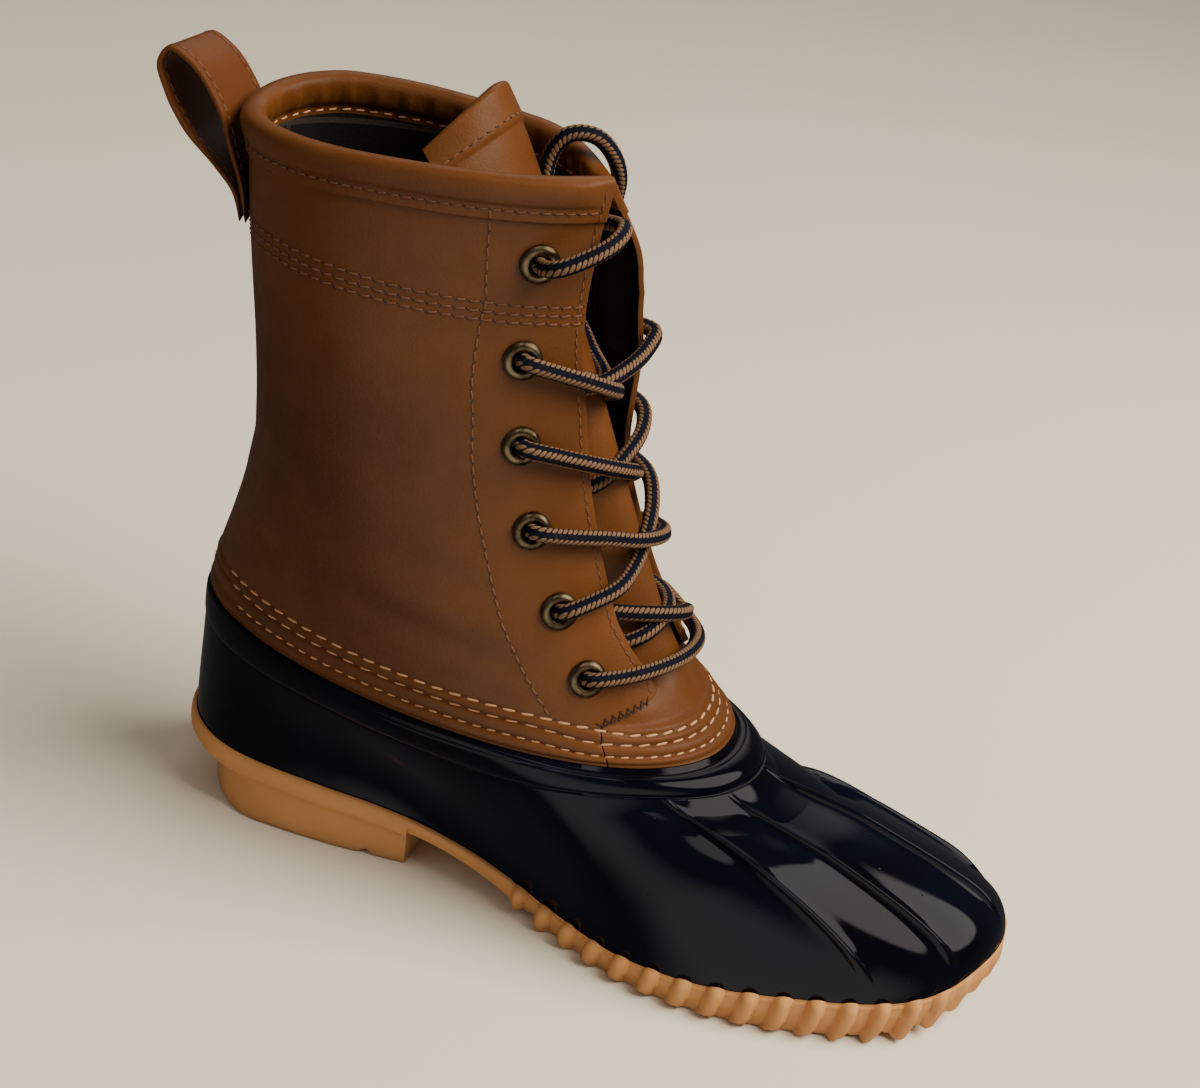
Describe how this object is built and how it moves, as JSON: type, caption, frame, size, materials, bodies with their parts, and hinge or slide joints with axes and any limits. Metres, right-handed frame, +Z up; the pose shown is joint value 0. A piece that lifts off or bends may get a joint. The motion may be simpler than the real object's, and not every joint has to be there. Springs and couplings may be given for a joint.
{
  "type": "duck boot",
  "caption": "Ankle-high lace-up duck boot for a right foot: rubber shell, leather shaft and gum rubber sole.",
  "frame": {"origin": "centre of the heel's flat bottom, on the floor", "axes": "+X towards the toe, +Y towards the inner (medial) side of the right foot, +Z up"},
  "size_m": [0.296, 0.105, 0.248],
  "materials": {
    "gum_rubber": "satin",
    "black_rubber": "gloss",
    "brown_leather": "satin",
    "felt": "matte",
    "antique_brass": "satin",
    "lace_cord": "matte"
  },
  "bodies": {
    "root": {"outsole": "gum_rubber", "insole": "felt", "rubber_shell": "black_rubber", "leather_shaft": "brown_leather", "tongue": "brown_leather", "pull_loop": "brown_leather", "eyelet_outer_1": "antique_brass", "eyelet_outer_2": "antique_brass", "eyelet_outer_3": "antique_brass", "eyelet_outer_4": "antique_brass", "eyelet_outer_5": "antique_brass", "eyelet_outer_6": "antique_brass", "eyelet_inner_1": "antique_brass", "eyelet_inner_2": "antique_brass", "eyelet_inner_3": "antique_brass", "eyelet_inner_4": "antique_brass", "eyelet_inner_5": "antique_brass", "eyelet_inner_6": "antique_brass", "lace_bar": "lace_cord", "lace_cross_1": "lace_cord", "lace_cross_2": "lace_cord", "lace_cross_3": "lace_cord", "lace_cross_4": "lace_cord", "lace_cross_5": "lace_cord", "lace_end_outer": "lace_cord", "lace_end_inner": "lace_cord"}
  },
  "joints": []
}
